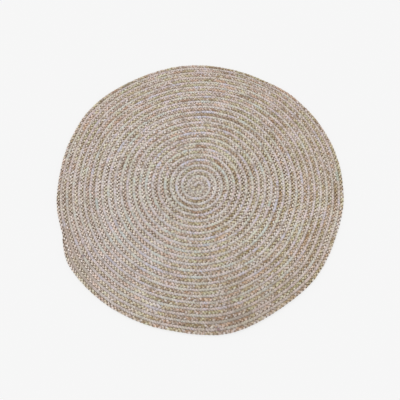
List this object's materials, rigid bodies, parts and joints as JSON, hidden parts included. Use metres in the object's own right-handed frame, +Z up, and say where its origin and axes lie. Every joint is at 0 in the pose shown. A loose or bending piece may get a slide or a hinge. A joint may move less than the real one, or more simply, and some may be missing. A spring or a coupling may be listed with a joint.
{
  "type": "round braided jute rug",
  "caption": "Round flat rug of a natural jute plait and a pale cotton plait, wound and sewn side by side into one spiral with an uneven rim.",
  "frame": {"origin": "middle of the outline's box, on the plane of the flat underside", "axes": "+Z up through the rug's thickness, out of its ribbed top; +Y away from the viewer of the picture; +X to that viewer's right"},
  "size_m": [1.1936, 1.2052, 0.0096],
  "materials": {
    "jute": "natural jute plait, matte and fibrous, tan with darker crevices",
    "cotton": "recycled cotton plait, matte grey-white with faint pink, green and blue patches",
    "sewing": "sewing thread and squeezed fibre between the plaits, matte brown"
  },
  "bodies": {
    "root": {"braided_rug": "jute"}
  },
  "joints": []
}
